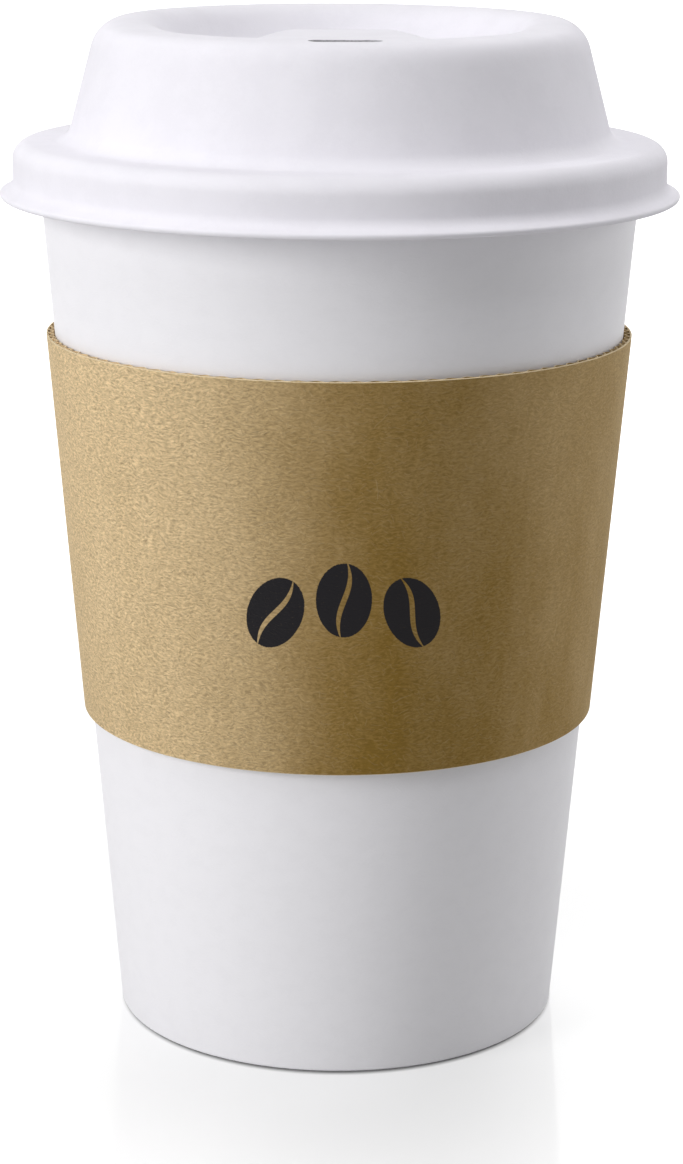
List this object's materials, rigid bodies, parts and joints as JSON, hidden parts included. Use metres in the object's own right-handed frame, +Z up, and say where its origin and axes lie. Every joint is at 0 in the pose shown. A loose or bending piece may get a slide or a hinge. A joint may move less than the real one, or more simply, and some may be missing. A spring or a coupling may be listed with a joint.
{
  "type": "paper coffee cup",
  "caption": "White paper cup for hot drinks with a domed moulded-fibre sip lid and a corrugated kraft sleeve; holds a drink, keeps it covered and shields the hand.",
  "frame": {"origin": "centre of the foot ring, on the plane that the cup stands on", "axes": "+Z up along the cup's axis; the lid's sip slot faces -Y, the seams lie at +Y, and +X is to the right seen from the sip side"},
  "size_m": [0.096, 0.096, 0.1445],
  "materials": {
    "cup_board": "matte white cup board",
    "base_board": "matte white cup board",
    "lid_fibre": "matte moulded fibre",
    "kraft_liner": "unbleached kraft",
    "kraft_flute": "unbleached kraft"
  },
  "bodies": {
    "cup": {"cup_wall": "cup_board", "cup_base": "base_board"},
    "lid": {"lid": "lid_fibre"},
    "sleeve": {"sleeve_liner": "kraft_liner", "sleeve_flutes": "kraft_flute"}
  },
  "joints": [
    {"name": "lid_lift", "type": "slide", "parent": "cup", "child": "lid", "axis": [0, 0, 1], "range_m": [0, 0.04]},
    {"name": "sleeve_slide", "type": "slide", "parent": "cup", "child": "sleeve", "axis": [0, 0, -1], "range_m": [0, 0.045]}
  ]
}
